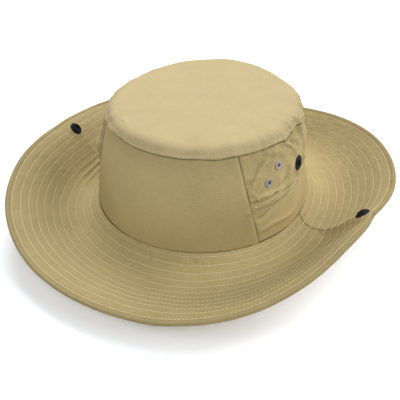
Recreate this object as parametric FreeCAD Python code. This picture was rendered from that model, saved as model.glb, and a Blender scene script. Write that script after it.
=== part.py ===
"""Boonie hat: a soft crown on a wide quilted brim whose two sides snap up to the crown.

The hat faces -Y, the wearer's left is +X, and it stands on Z = 0 with its box centred
on the origin.  Angles round the hat are measured from the front, towards the wearer's
left.  Every length is in millimetres and every angle in degrees.
"""
import FreeCAD, Part
import math
import os

os.makedirs("parts", exist_ok=True)

# --- crown -------------------------------------------------------------------------
CROWN_HALF_WIDTH = 91.5        # outside of the wall at the brim seam, a 58 cm head
CROWN_HALF_LENGTH = 98.0
TIP_HALF_WIDTH = 80.5          # outside of the wall at the seam of the top panel
TIP_HALF_LENGTH = 81.5
BRIM_SEAM_HEIGHT = (15.2, -1.8, 2.3)    # mean, front's rise, rise of front and back
TIP_SEAM_HEIGHT = (91.5, -2.0)          # mean, front's rise
WALL_BULGE = 1.5               # the soft wall stands out this far at mid height
CLOTH = 0.8                    # one ply of crown cloth
LAYER_GAP = 0.03               # keeps stacked layers from cutting into each other
SHOULDER_WIDTH = 11.0          # the top panel rolls over from the wall to the flat top
SHOULDER_HEIGHT = 8.0
TIP_DOME = 2.0                 # rise of the flat top at its centre
PANEL_SEAM_ANGLE = (58.5, 46.5)         # front panel's edge, at the brim and at the tip

# --- crown, inside -----------------------------------------------------------------
LINING = 0.6                   # front interlining, seam tapes and rear elastic
LINING_DEPTH = CLOTH + LAYER_GAP
INNER_DEPTH = LINING_DEPTH + LINING + LAYER_GAP
SEAM_TAPE_ANGLE = 2.6          # half the width of a panel seam tape
SWEATBAND_TOP = 0.34           # as a fraction of the wall's height
SWEATBAND_THICKNESS = 1.3
SWEATBAND_GAP_ANGLE = 0.2      # half the butt joint at the back
CASING_SPAN = (0.355, 0.455)   # strip that holds the rear elastic
CASING_THICKNESS = 0.4
ELASTIC_SPAN = (0.375, 0.435)
REAR_START_ANGLE = 66.0        # elastic and casing run from here round the back
TIP_TAPE_SPAN = (0.91, 1.0)
TIP_TAPE_THICKNESS = 0.5
LABEL_ANGLE = 4.5              # half the care label's width
LABEL_SPAN = (0.08, 0.30)
LABEL_THICKNESS = 0.4

# --- brim --------------------------------------------------------------------------
BRIM_WIDTH = 85.0              # along the cloth, from the crown seam to the edge
BRIM_PLY = 0.7
BRIM_CORE = 1.2                # stiff interlining between the two plies
CORE_SETBACK = 1.5             # the core stops short of the turned edge
SLOPE_MIDDLE_AT = 0.6          # where the middle slope applies, as a fraction of width
# upward slope of the brim at seven places from the front (0) to the back (180)
SEAM_SLOPES = (-82.0, -60.0, -60.0, -82.0, -46.0, -60.0, -86.0)
MIDDLE_SLOPES = (24.0, 24.0, 44.0, 50.0, 29.0, 24.0, 22.0)
EDGE_SLOPES = (-4.0, 12.0, 21.0, 17.0, 18.0, 24.0, 20.0)

# --- side flaps and their snaps ----------------------------------------------------
FOLD_ANGLE = 62.0              # turn that brings a brim socket onto its crown stud
FLAP_START = 106.0             # where the flap begins, abreast of the crown
FLAP_CURVE = 500.0             # the flap's inner edge bows away from the crown
FLAP_GAP = 1.5
BLOCK_REACH = 200.0            # cutting blocks run this far past the middle of the hat
SNAP_REACH = 70.5              # socket, along the brim from the crown seam
SNAP_CLIMB = 0.63              # stud, as a fraction of the wall's height
SNAP_RADIUS = 6.1
STUD_FLANGE = 0.8
KNOB_RADIUS = 2.4
KNOB_NECK_RADIUS = 2.0
KNOB_HEIGHT = 2.3
SOCKET_HEIGHT = 2.3
SOCKET_BORE = 2.9
SOCKET_RING_RADIUS = 4.4
SOCKET_FLANGE = 1.0
POST_RADIUS = 1.6
CAP_RADIUS = 5.6
CAP_THICKNESS = 0.9
CAP_EDGE = 0.3

# --- vent eyelets ------------------------------------------------------------------
EYELET_PLACES = ((71.0, 0.78), (64.0, 0.65))      # angle and climb on the wall
EYELET_RADIUS = 3.6
EYELET_BORE = 1.5
EYELET_BARREL = 2.5
EYELET_FLANGE = 0.9
WASHER_THICKNESS = 0.4
CURVE_RELIEF = 0.1             # flat washers stand this far off the curved wall
CAP_RELIEF = 0.3               # and the wider caps this far

MEASURING_TOLERANCE = 0.05
PROFILE_STEPS = 24             # steps that sum the brim's slope from the seam outwards
SIDES = (("left", 1), ("right", -1))


# ------------------------------------------------------------------ the hat's surfaces
def seam_height(height, angle):
    """Height of a crown seam at an angle round the hat."""
    turn = math.radians(angle)
    return sum(wave * math.cos(count * turn) for count, wave in enumerate(height))


def oval(half_width, half_length, angle):
    turn = math.radians(angle)
    return half_width * math.sin(turn), -half_length * math.cos(turn)


def wall_point(angle, climb, depth=0.0):
    """Point of the crown wall, climb 0 at the brim and 1 at the tip, depth inwards."""
    low_x, low_y = oval(CROWN_HALF_WIDTH - depth, CROWN_HALF_LENGTH - depth, angle)
    top_x, top_y = oval(TIP_HALF_WIDTH - depth, TIP_HALF_LENGTH - depth, angle)
    out_x, out_y = oval(WALL_BULGE, WALL_BULGE, angle)
    bulge = math.sin(math.pi * climb)
    low_z = seam_height(BRIM_SEAM_HEIGHT, angle)
    top_z = seam_height(TIP_SEAM_HEIGHT, angle)
    return FreeCAD.Vector(
        low_x + (top_x - low_x) * climb + out_x * bulge,
        low_y + (top_y - low_y) * climb + out_y * bulge,
        low_z + (top_z - low_z) * climb,
    )


def wall_normal(angle, climb):
    """Unit vector out of the crown wall."""
    step = 0.01
    around = wall_point(angle + step, climb) - wall_point(angle - step, climb)
    upward = wall_point(angle, climb + step) - wall_point(angle, climb - step)
    return around.cross(upward).normalize()


def round_the_hat(stations, angle):
    """Smooth value through evenly spaced stations from the front to the back."""
    last = len(stations) - 1
    total = 0.0
    for wave in range(last + 1):
        weight = 0.0
        for place, value in enumerate(stations):
            share = 0.5 if place in (0, last) else 1.0
            weight += share * value * math.cos(math.pi * wave * place / last)
        share = 0.5 if wave in (0, last) else 1.0
        total += share * weight * 2.0 / last * math.cos(wave * math.radians(angle))
    return total


def brim_slope(angle, fraction):
    """Upward slope of the brim in degrees: a parabola through its three stations."""
    at_seam = round_the_hat(SEAM_SLOPES, angle)
    at_middle = round_the_hat(MIDDLE_SLOPES, angle)
    at_edge = round_the_hat(EDGE_SLOPES, angle)
    middle = SLOPE_MIDDLE_AT
    whole_rise = at_edge - at_seam
    bend = ((at_middle - at_seam) - whole_rise * middle) / (middle * (middle - 1.0))
    return at_seam + (whole_rise - bend) * fraction + bend * fraction * fraction


def brim_middle(angle, reach):
    """Point of the brim's middle surface, reach mm along the cloth from the seam."""
    seam_x, seam_y = oval(CROWN_HALF_WIDTH, CROWN_HALF_LENGTH, angle)
    normal_x = seam_x / CROWN_HALF_WIDTH ** 2
    normal_y = seam_y / CROWN_HALF_LENGTH ** 2
    length = math.hypot(normal_x, normal_y)
    outwards = 0.0
    upwards = 0.0
    step = reach / PROFILE_STEPS
    for index in range(PROFILE_STEPS):
        slope = math.radians(brim_slope(angle, (index + 0.5) * step / BRIM_WIDTH))
        outwards += step * math.cos(slope)
        upwards += step * math.sin(slope)
    return FreeCAD.Vector(
        seam_x + outwards * normal_x / length,
        seam_y + outwards * normal_y / length,
        seam_height(BRIM_SEAM_HEIGHT, angle) + upwards,
    )


def brim_normal(angle, reach):
    """Unit vector out of the brim's upper face."""
    turn = 0.05
    step = 0.05
    around = brim_middle(angle + turn, reach + step) - brim_middle(angle - turn, reach + step)
    outward = brim_middle(angle, reach + 2 * step) - brim_middle(angle, reach)
    return outward.cross(around).normalize()


def brim_point(angle, reach, rise=0.0):
    return brim_middle(angle, reach) + brim_normal(angle, reach) * rise


# ------------------------------------------------------------------ solids from surfaces
def spread(first, last, count):
    return [first + (last - first) * index / (count - 1) for index in range(count)]


def spline_surface(point, rows, columns):
    surface = Part.BSplineSurface()
    surface.interpolate([[point(row, column) for column in columns] for row in rows])
    return surface


def sheet_solid(upper, lower, rows, columns):
    """Solid between two surfaces given as functions of the same row and column."""
    faces = []
    edges = []
    for point in (upper, lower):
        surface = spline_surface(point, rows, columns)
        u_first, u_last, v_first, v_last = surface.bounds()
        faces.append(surface.toShape())
        edges.append([
            surface.uIso(u_first).toShape(),
            surface.uIso(u_last).toShape(),
            surface.vIso(v_first).toShape(),
            surface.vIso(v_last).toShape(),
        ])
    for upper_edge, lower_edge in zip(*edges):
        faces.append(Part.makeRuledSurface(upper_edge, lower_edge, 1))
    shell = Part.Shell(faces)
    shell.sewShape()
    solid = Part.Solid(shell)
    if solid.Volume < 0:
        solid.reverse()
    return solid


def wall_sheet(first_angle, last_angle, span, outer_depth, thickness, count=19):
    """Part of the crown wall; each end angle is given at the brim and at the tip."""
    def at(depth):
        def point(share, climb):
            low = first_angle[0] + (last_angle[0] - first_angle[0]) * share
            top = first_angle[1] + (last_angle[1] - first_angle[1]) * share
            return wall_point(low + (top - low) * climb, climb, depth)
        return point
    rows = spread(0.0, 1.0, count)
    return sheet_solid(at(outer_depth), at(outer_depth + thickness), rows, spread(*span, 7))


def turned(profile, place, normal):
    """Solid turned from a profile of (radius, height), standing on a place."""
    points = [FreeCAD.Vector(radius, 0, height) for radius, height in profile]
    face = Part.Face(Part.makePolygon(points + [points[0]]))
    solid = face.revolve(FreeCAD.Vector(0, 0, 0), FreeCAD.Vector(0, 0, 1), 360)
    rotation = FreeCAD.Rotation(FreeCAD.Vector(0, 0, 1), normal)
    solid.Placement = FreeCAD.Placement(place, rotation)
    return solid


# ------------------------------------------------------------------ crown
def tip_outline(inset):
    """Half section of the top panel: up the shoulder and in to the axis."""
    edge = FreeCAD.Vector(TIP_HALF_WIDTH - inset, 0, 0)
    flat_start = TIP_HALF_WIDTH - SHOULDER_WIDTH
    shoulder_top = FreeCAD.Vector(flat_start, 0, SHOULDER_HEIGHT - inset)
    diagonal = math.sqrt(0.5)
    shoulder_middle = FreeCAD.Vector(
        flat_start + (SHOULDER_WIDTH - inset) * diagonal, 0, shoulder_top.z * diagonal
    )
    crest = FreeCAD.Vector(0, 0, shoulder_top.z + TIP_DOME)
    dome_middle = FreeCAD.Vector(flat_start / 2, 0, shoulder_top.z + TIP_DOME * 0.75)
    shoulder = Part.Arc(edge, shoulder_middle, shoulder_top).toShape()
    dome = Part.Arc(shoulder_top, dome_middle, crest).toShape()
    return [shoulder, dome]


def crown_tip():
    """Domed top panel: turned round, then stretched to the oval and leant forwards."""
    outer = tip_outline(0.0)
    inner = tip_outline(CLOTH)
    rim = Part.makeLine(outer[0].Vertexes[0].Point, inner[0].Vertexes[0].Point)
    axis = Part.makeLine(inner[1].Vertexes[1].Point, outer[1].Vertexes[1].Point)
    section = Part.Face(Part.Wire(Part.sortEdges(outer + inner + [rim, axis])[0]))
    turned_tip = section.revolve(FreeCAD.Vector(0, 0, 0), FreeCAD.Vector(0, 0, 1), 360)
    mean, lean = TIP_SEAM_HEIGHT
    stretch = FreeCAD.Matrix()
    stretch.A22 = TIP_HALF_LENGTH / TIP_HALF_WIDTH
    stretch.A32 = -lean / TIP_HALF_WIDTH
    stretch.A34 = mean
    return turned_tip.transformGeometry(stretch)


def front_panel():
    low, top = PANEL_SEAM_ANGLE
    return wall_sheet((-low, -top), (low, top), (0.0, 1.0), 0.0, CLOTH)


def rear_panel():
    """Gathered panel from one front seam round the back to the other, with its holes."""
    low, top = PANEL_SEAM_ANGLE
    panel = wall_sheet((low, top), (360 - low, 360 - top), (0.0, 1.0), 0.0, CLOTH, 31)
    for _, side in SIDES:
        for angle, climb in EYELET_PLACES:
            panel = panel.cut(wall_hole(side * angle, climb, EYELET_BARREL))
        panel = panel.cut(wall_hole(side * 90, SNAP_CLIMB, POST_RADIUS))
    return panel


def wall_hole(angle, climb, radius):
    normal = wall_normal(angle, climb)
    start = wall_point(angle, climb) - normal * 5
    return Part.makeCylinder(radius, 10, start, normal)


def front_interlining():
    low, top = (edge - SEAM_TAPE_ANGLE for edge in PANEL_SEAM_ANGLE)
    return wall_sheet((-low, -top), (low, top), (0.0, 1.0), LINING_DEPTH, LINING)


def panel_seam_tape(side):
    low, top = PANEL_SEAM_ANGLE
    first = (side * low - SEAM_TAPE_ANGLE, side * top - SEAM_TAPE_ANGLE)
    last = (side * low + SEAM_TAPE_ANGLE, side * top + SEAM_TAPE_ANGLE)
    return wall_sheet(first, last, (0.0, 1.0), LINING_DEPTH, LINING, 5)


def rear_strip(span, depth, thickness):
    ends = (REAR_START_ANGLE, REAR_START_ANGLE), (360 - REAR_START_ANGLE, 360 - REAR_START_ANGLE)
    return wall_sheet(*ends, span, depth, thickness, 25)


def ring_strip(span, depth, thickness):
    first = 180 - SWEATBAND_GAP_ANGLE
    last = SWEATBAND_GAP_ANGLE - 180
    return wall_sheet((last, last), (first, first), span, depth, thickness, 41)


def care_label():
    depth = INNER_DEPTH + SWEATBAND_THICKNESS + LAYER_GAP
    centre = 180 - 2 * LABEL_ANGLE
    first = (centre - LABEL_ANGLE, centre - LABEL_ANGLE)
    last = (centre + LABEL_ANGLE, centre + LABEL_ANGLE)
    return wall_sheet(first, last, LABEL_SPAN, depth, LABEL_THICKNESS, 5)


# ------------------------------------------------------------------ eyelets and snaps
def vent_eyelet(angle, climb):
    """Flanged barrel through the wall, rounded on its outer face."""
    profile = [
        (EYELET_BORE, -CLOTH - CURVE_RELIEF - WASHER_THICKNESS),
        (EYELET_BARREL, -CLOTH - CURVE_RELIEF - WASHER_THICKNESS),
        (EYELET_BARREL, 0.0),
        (EYELET_RADIUS, 0.0),
        (EYELET_RADIUS, EYELET_FLANGE / 2),
        (EYELET_RADIUS - EYELET_FLANGE / 2, EYELET_FLANGE),
        (EYELET_BORE + EYELET_FLANGE / 2, EYELET_FLANGE),
        (EYELET_BORE, EYELET_FLANGE / 2),
    ]
    return turned(profile, wall_point(angle, climb), wall_normal(angle, climb))


def eyelet_washer(angle, climb):
    low = -CLOTH - CURVE_RELIEF - WASHER_THICKNESS
    profile = [
        (EYELET_BARREL, low),
        (EYELET_RADIUS, low),
        (EYELET_RADIUS, low + WASHER_THICKNESS),
        (EYELET_BARREL, low + WASHER_THICKNESS),
    ]
    return turned(profile, wall_point(angle, climb), wall_normal(angle, climb))


def crown_stud(side):
    """Flange on the wall with a waisted knob that clicks into the brim's socket."""
    neck_top = STUD_FLANGE + (KNOB_HEIGHT - STUD_FLANGE) / 2
    profile = [
        (0.0, 0.0),
        (SNAP_RADIUS, 0.0),
        (SNAP_RADIUS, STUD_FLANGE / 2),
        (SNAP_RADIUS - STUD_FLANGE / 2, STUD_FLANGE),
        (KNOB_NECK_RADIUS, STUD_FLANGE),
        (KNOB_RADIUS, neck_top),
        (KNOB_NECK_RADIUS, KNOB_HEIGHT),
        (0.0, KNOB_HEIGHT),
    ]
    angle = side * 90
    return turned(profile, wall_point(angle, SNAP_CLIMB), wall_normal(angle, SNAP_CLIMB))


def cap_profile(post_length):
    """Post through the cloth and a domed cap on its far side, below height 0."""
    base = -post_length
    return [
        (0.0, 0.0),
        (POST_RADIUS, 0.0),
        (POST_RADIUS, base),
        (CAP_RADIUS, base),
        (CAP_RADIUS, base - CAP_EDGE),
        (CAP_RADIUS - 2 * CAP_EDGE, base - CAP_THICKNESS),
        (0.0, base - CAP_THICKNESS),
    ]


def stud_cap(side):
    angle = side * 90
    place = wall_point(angle, SNAP_CLIMB)
    return turned(cap_profile(CLOTH + CAP_RELIEF), place, wall_normal(angle, SNAP_CLIMB))


def socket_seat(side):
    """Place and normal of the brim's upper face under the socket."""
    normal = brim_normal(side * 90, SNAP_REACH)
    return brim_point(side * 90, SNAP_REACH, brim_half() + CURVE_RELIEF), normal


def brim_socket(side):
    """Flanged ring whose bore takes the knob of the crown stud."""
    profile = [
        (0.0, 0.0),
        (SNAP_RADIUS, 0.0),
        (SNAP_RADIUS, SOCKET_FLANGE / 2),
        (SNAP_RADIUS - SOCKET_FLANGE / 2, SOCKET_FLANGE),
        (SOCKET_RING_RADIUS, SOCKET_FLANGE),
        (SOCKET_RING_RADIUS - SOCKET_FLANGE / 4, SOCKET_HEIGHT),
        (SOCKET_BORE, SOCKET_HEIGHT),
        (SOCKET_BORE, SOCKET_FLANGE / 2),
        (0.0, SOCKET_FLANGE / 2),
    ]
    return turned(profile, *socket_seat(side))


def socket_cap(side):
    post_length = CURVE_RELIEF + 2 * brim_half() + CAP_RELIEF
    return turned(cap_profile(post_length), *socket_seat(side))


# ------------------------------------------------------------------ brim
def brim_half():
    return BRIM_PLY + BRIM_CORE / 2


def brim_layer(first_angle, top, bottom, width):
    """Half of the ring of one brim layer, from first_angle over 180 degrees."""
    angles = spread(first_angle, first_angle + 180, 33)
    reaches = spread(0.0, width, 15)
    return sheet_solid(
        lambda angle, reach: brim_point(angle, reach, top),
        lambda angle, reach: brim_point(angle, reach, bottom),
        angles, reaches,
    )


def flap_region(side, extra=0.0):
    """Tall block that holds everything outside the flap's bowed inner edge."""
    start = FLAP_START - extra
    end = start + BLOCK_REACH ** 2 / (2 * FLAP_CURVE)
    front = FreeCAD.Vector(side * end, -BLOCK_REACH, -BLOCK_REACH)
    middle = FreeCAD.Vector(side * start, 0, -BLOCK_REACH)
    back = FreeCAD.Vector(side * end, BLOCK_REACH, -BLOCK_REACH)
    outer_back = FreeCAD.Vector(side * (end + BLOCK_REACH), BLOCK_REACH, -BLOCK_REACH)
    outer_front = FreeCAD.Vector(side * (end + BLOCK_REACH), -BLOCK_REACH, -BLOCK_REACH)
    outline = Part.Wire([
        Part.Arc(front, middle, back).toShape(),
        Part.makeLine(back, outer_back),
        Part.makeLine(outer_back, outer_front),
        Part.makeLine(outer_front, front),
    ])
    return Part.Face(outline).extrude(FreeCAD.Vector(0, 0, 2 * BLOCK_REACH))


def snap_hole(side):
    place, normal = socket_seat(side)
    return Part.makeCylinder(POST_RADIUS, 10, place - normal * 7, normal)


def brim_pieces():
    """Each half of each layer, cut into the fixed part and its two side flaps."""
    inner_face = BRIM_CORE / 2
    core = inner_face - LAYER_GAP
    layers = (
        ("upper", brim_half(), inner_face, BRIM_WIDTH),
        ("core", core, -core, BRIM_WIDTH - CORE_SETBACK),
        ("lower", -inner_face, -brim_half(), BRIM_WIDTH),
    )
    pieces = {}
    for layer, top, bottom, width in layers:
        for half, first_angle in (("front", -90), ("rear", 90)):
            sheet = brim_layer(first_angle, top, bottom, width)
            fixed = sheet
            for name, side in SIDES:
                fixed = fixed.cut(flap_region(side, FLAP_GAP))
                flap = sheet.common(flap_region(side)).cut(snap_hole(side))
                pieces[f"brim_{layer}_{half}_{name}_flap"] = flap
            pieces[f"brim_{layer}_{half}"] = fixed
    return pieces


# ------------------------------------------------------------------ the folding joint
def fold_axis():
    """Point on the left flap's axis: the centre of the turn from socket to stud."""
    seat, normal = socket_seat(1)
    socket_face = seat + normal * SOCKET_HEIGHT
    stud_normal = wall_normal(90, SNAP_CLIMB)
    stud_face = wall_point(90, SNAP_CLIMB) + stud_normal * STUD_FLANGE
    chord = stud_face - socket_face
    chord.y = 0
    middle = (socket_face + stud_face) / 2
    distance = chord.Length / 2 / math.tan(math.radians(FOLD_ANGLE / 2))
    inward = FreeCAD.Vector(-chord.z, 0, chord.x).normalize()
    return middle + inward * distance


# ------------------------------------------------------------------ assembly
def all_pieces():
    pieces = {
        "crown_tip": crown_tip(),
        "crown_front_panel": front_panel(),
        "crown_rear_panel": rear_panel(),
        "front_interlining": front_interlining(),
        "rear_elastic": rear_strip(ELASTIC_SPAN, LINING_DEPTH, LINING),
        "elastic_casing": rear_strip(CASING_SPAN, INNER_DEPTH, CASING_THICKNESS),
        "sweatband": ring_strip((0.0, SWEATBAND_TOP), INNER_DEPTH, SWEATBAND_THICKNESS),
        "tip_seam_tape": ring_strip(TIP_TAPE_SPAN, INNER_DEPTH, TIP_TAPE_THICKNESS),
        "care_label": care_label(),
    }
    for name, side in SIDES:
        pieces[f"seam_tape_{name}"] = panel_seam_tape(side)
        pieces[f"crown_stud_{name}"] = crown_stud(side)
        pieces[f"stud_cap_{name}"] = stud_cap(side)
        pieces[f"brim_socket_{name}"] = brim_socket(side)
        pieces[f"socket_cap_{name}"] = socket_cap(side)
        for place, (angle, climb) in zip(("upper", "lower"), EYELET_PLACES):
            pieces[f"vent_eyelet_{name}_{place}"] = vent_eyelet(side * angle, climb)
            pieces[f"eyelet_washer_{name}_{place}"] = eyelet_washer(side * angle, climb)
    pieces.update(brim_pieces())
    return pieces


def standing_offset(pieces):
    """Move that puts the box's centre over the origin and its bottom on Z = 0."""
    whole = Part.Compound(list(pieces.values()))
    whole.tessellate(MEASURING_TOLERANCE)
    box = whole.BoundBox
    return FreeCAD.Vector(-(box.XMin + box.XMax) / 2, -(box.YMin + box.YMax) / 2, -box.ZMin)


def main():
    pieces = all_pieces()
    offset = standing_offset(pieces)
    for name, shape in pieces.items():
        moved = shape.copy()
        moved.translate(offset)
        moved.exportStep(f"parts/{name}.step")
        state = "" if moved.isValid() and len(moved.Solids) == 1 else "  CHECK"
        print(f"{name:32s} {len(moved.Solids)} solid, {moved.Volume:9.1f} mm3{state}")
    print("offset", offset)
    print("left fold axis", fold_axis() + offset)


main()
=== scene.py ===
"""Boonie hat in woven cotton: crown, quilted brim, eyelets and snaps, in metres.

The hat faces -Y and the wearer's left is +X.  Angles round the hat are in radians from
the front, towards the wearer's left.  Cloth that the CAD model holds as plain solids is
made here again from the same outlines, with its seams, stitches, gathers and creases.
"""
import bmesh
import bpy
import math
import numpy as np
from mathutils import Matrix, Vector


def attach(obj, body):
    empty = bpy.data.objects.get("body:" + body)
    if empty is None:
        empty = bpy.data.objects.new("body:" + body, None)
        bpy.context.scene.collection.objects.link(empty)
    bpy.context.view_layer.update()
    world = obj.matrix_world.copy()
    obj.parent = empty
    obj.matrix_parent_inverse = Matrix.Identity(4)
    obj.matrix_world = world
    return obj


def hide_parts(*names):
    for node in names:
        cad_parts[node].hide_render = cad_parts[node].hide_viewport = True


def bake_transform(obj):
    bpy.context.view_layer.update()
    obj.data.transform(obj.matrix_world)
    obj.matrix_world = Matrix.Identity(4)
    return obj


# --- the hat's outlines, as in the CAD model ---
HAT_CENTRE = (0.0, 0.00148, 0.00122)  # the outlines' own origin in the model's frame
CROWN_HALF_WIDTH = 0.0915
CROWN_HALF_LENGTH = 0.098
TIP_HALF_WIDTH = 0.0805
TIP_HALF_LENGTH = 0.0815
BRIM_SEAM_HEIGHT = (0.0152, -0.0018, 0.0023)  # mean, front's rise, front and back's rise
TIP_SEAM_HEIGHT = (0.0915, -0.002)
WALL_BULGE = 0.0015
SHOULDER_WIDTH = 0.011
SHOULDER_HEIGHT = 0.008
SHOULDER_CRISPNESS = 0.85  # 1 is an even round, less is a tighter fold
TIP_DOME = 0.002
PANEL_SEAM_ANGLE = (58.5, 46.5)  # front panel's edge, at the brim and at the tip
CLOTH = 0.0008
LAYER_GAP = 0.00003
LINING = 0.0006
BRIM_WIDTH = 0.085
BRIM_HALF = 0.0013  # half of the brim's thickness
SLOPE_MIDDLE_AT = 0.6
SEAM_SLOPES = (-82.0, -60.0, -60.0, -82.0, -46.0, -60.0, -86.0)
MIDDLE_SLOPES = (24.0, 24.0, 44.0, 50.0, 29.0, 24.0, 22.0)
EDGE_SLOPES = (-4.0, 12.0, 21.0, 17.0, 18.0, 24.0, 20.0)
STUD_PLACE = (90.0, 0.63)  # degrees from the front, and climb
WALL_HEIGHT = 0.076
WALL_RADIUS = 0.087  # turns angles into lengths round the wall
EYELET_WALL_RADIUS = 0.086  # the same at the eyelets
FLAT_RADIUS = 0.090  # the same on the wall's flat cloth
BRIM_RADIUS = 0.095  # the same on the brim, at the crown's seam
EYELET_BORE = 0.0026  # radius of the hole in the cloth
EYELET_PLACES = ((71.0, 0.78), (64.0, 0.65))

# --- inside of the crown ---
SEAM_TAPE_ANGLE = 2.6
SWEATBAND_TOP = 0.34
SWEATBAND_THICKNESS = 0.0013
SWEATBAND_GAP_ANGLE = 0.2
CASING_SPAN = (0.355, 0.455)
CASING_THICKNESS = 0.0004
ELASTIC_SPAN = (0.375, 0.435)
REAR_START_ANGLE = 66.0
TIP_TAPE_SPAN = (0.91, 1.0)
TIP_TAPE_THICKNESS = 0.0005
LABEL_ANGLE = 4.5
LABEL_SPAN = (0.08, 0.30)
LABEL_THICKNESS = 0.0004

# --- sewing ---
FIRST_ROW = 0.003  # brim stitching, from the crown seam outwards
ROW_PITCH = 0.007
ROW_COUNT = 12
HEM_LINE = 0.0818  # inner edge of the turned hem
SIDE_SEAM_DEPTH = 0.0007
QUILT_PUFF = 0.00026  # cloth stands up between two rows of stitching
STITCH_LENGTH = 0.0027
STITCH_GAP = 0.00025
THREAD_WIDTH = 0.00056
THREAD_HEIGHT = 0.00036
THREAD_SIDES = 6

# --- soft shape ---
SNAP_REACH = 0.0705  # brim snap, from the crown seam
SEAM_DIP_FRONT = 0.0048  # the brim dips beside its side seams
SEAM_DIP_REAR = 0.0010
SEAM_DIP_RUN = 0.016
ELASTIC_PINCH = 0.0030  # the elastic draws the rear of the crown in
LEFT_REAR_LIFT = 0.0042  # the brim's edge is not quite the same on both sides
BACK_LIFT = 0.0030  # so its back is a little higher
RIGHT_REAR_DROP = 0.0030  # and its rear on the wearer's right lower
RIM_DROOP = 0.0035  # the rim hangs beyond the left snap
RESTING_HEIGHT = 0.0005  # cloth that rests on the ground lies flat on it

# folds of the rear panel: angle and climb of each end, half width, height
FOLDS = (
    (77.0, 1.02, 87.0, 0.74, 0.0015, 0.0030),
    (82.0, 0.96, 91.0, 0.80, 0.0022, -0.0018),
    (94.0, 1.02, 101.0, 0.80, 0.0020, 0.0028),
    (104.0, 0.84, 106.0, 0.56, 0.0036, -0.0024),
    (63.0, 1.00, 72.0, 0.90, 0.0024, 0.0012),
    (51.0, 0.70, 61.0, 0.87, 0.0014, -0.0015),
    (53.0, 0.62, 64.0, 0.92, 0.0018, 0.0013),
    (54.0, 0.50, 79.0, 0.57, 0.0018, 0.0022),
    (57.0, 0.455, 88.0, 0.50, 0.0013, 0.0018),
    (68.0, 0.52, 80.0, 0.70, 0.0016, -0.0016),
    (84.0, 0.44, 88.0, 0.60, 0.0012, -0.0014),
    (93.0, 0.45, 101.0, 0.62, 0.0016, 0.0024),
    (97.0, 0.44, 104.0, 0.56, 0.0012, -0.0018),
    (112.0, 0.98, 117.0, 0.60, 0.0026, 0.0016),
    (57.0, 0.30, 70.0, 0.35, 0.0018, -0.0012),
    (78.0, 0.34, 92.0, 0.40, 0.0016, 0.0014),
    (60.0, 0.14, 84.0, 0.17, 0.0022, 0.0010),
)
# painted light and shade on broad areas of the brim: how much paler, its angle and width, where it
# starts and is full
BRIM_PAINTED_LIGHT = (
    (0.11, -1.35, 0.5, 0.05, 0.02),
    (-0.05, 1.7, 0.5, 0.035, 0.02),
    (-0.06, 1.9, 0.5, 0.045, 0.07),
)
FOLD_PAINTED_LIGHT = 70.0  # painted light and shade on the folds: how much paler a fold's top is, and darker a hollow, per metre of height
FAR_SIDE_FADE = 0.45  # how much weaker that is on the wearer's right
PUCKER_PAINTED_LIGHT = 65.0  # the same painted light and shade for the small folds at the tip's seam

# --- fineness of the meshes ---
BRIM_COLUMNS = 900
BRIM_STEPS = 170  # that the brim's even curve is added up from
SEAM_COLUMN_TURN = 0.08  # degrees between the extra columns beside a side seam
TIP_COLUMNS = 480

# --- random unevenness ---
LUMP_COLUMNS = 97  # it repeats after this many lumps across
LUMP_ROWS = 89  # and along

# --- view ---
VIEW_AZIMUTH = 28.6
VIEW_ELEVATION = 36.48
VIEW_DISTANCE = 0.4725
VIEW_TARGET = (0.02006, -0.04207, 0.03122)
LENS = 51.5
FLOOR_GLOW = 0.12  # lightens the shadow on the floor
FLOOR_HALF = 3.0
FLOOR_WHITE = (0.90, 0.92, 0.96)
WHITE = (1.0, 1.0, 1.0, 1.0)
WORLD_LIGHT = 0.37
LIGHT_TARGET = (0.0, 0.0, 0.05)
LIGHT_SIZE = 1.0
LIGHTS = (
    ("back_right", (0.9, 0.9, 1.4), 18.5),
    ("back_left", (-0.9, 1.1, 1.3), 24.5),
    ("right", (1.5, 0.2, 1.1), 8.0),
    ("front_right", (1.0, -1.1, 1.2), 9.5),
    ("front_left", (-1.0, -1.2, 1.2), 9.0),
)

# --- colours, linear ---
TIP_KHAKI_LIT = (0.425, 0.346, 0.186)  # top panel, painted paler and greyer than the rest: painted light on the top
CROWN_KHAKI = (0.388, 0.308, 0.146)
# the brim is the crown's cotton, painted darker: painted shade
BRIM_KHAKI_SHADED = (0.354, 0.282, 0.134)
KHAKI_INSIDE = (0.40, 0.32, 0.175)
THREAD = (0.68, 0.57, 0.35)
LINING_COLOUR = (0.36, 0.30, 0.18)
ELASTIC_COLOUR = (0.55, 0.50, 0.40)
LABEL_COLOUR = (0.72, 0.70, 0.64)
SNAP_COLOUR = (0.006, 0.006, 0.008)
EYELET_COLOUR = (0.32, 0.295, 0.295)


# --- small maths ---
def smooth(low, high, value):
    """0 up to low, 1 from high, with an even change between."""
    share = np.clip((value - low) / (high - low), 0.0, 1.0)
    return share * share * (3.0 - 2.0 * share)


def hump(centre, width, value):
    return np.exp(-((value - centre) / width) ** 2)


def turn_apart(first, second):
    """Smallest turn between two angles."""
    return np.abs((first - second + math.pi) % (2.0 * math.pi) - math.pi)


def even_turn(count):
    """Even angles once round."""
    return np.arange(count) * math.tau / count


def facing(angle, place, width):
    """1 in one direction from the hat's middle, fading to 0 on both sides of it."""
    return hump(0.0, width, turn_apart(angle, place))


def wall_place(angle, climb):
    """Lengths round the wall and up it, for an angle and a climb."""
    return angle * WALL_RADIUS, climb * WALL_HEIGHT


def from_side_seam(angle, reach, side):
    """Length round the brim from its left seam, side 1, or its right one, side -1."""
    return turn_apart(angle, side * math.pi / 2.0) * (BRIM_RADIUS + reach)


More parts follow.
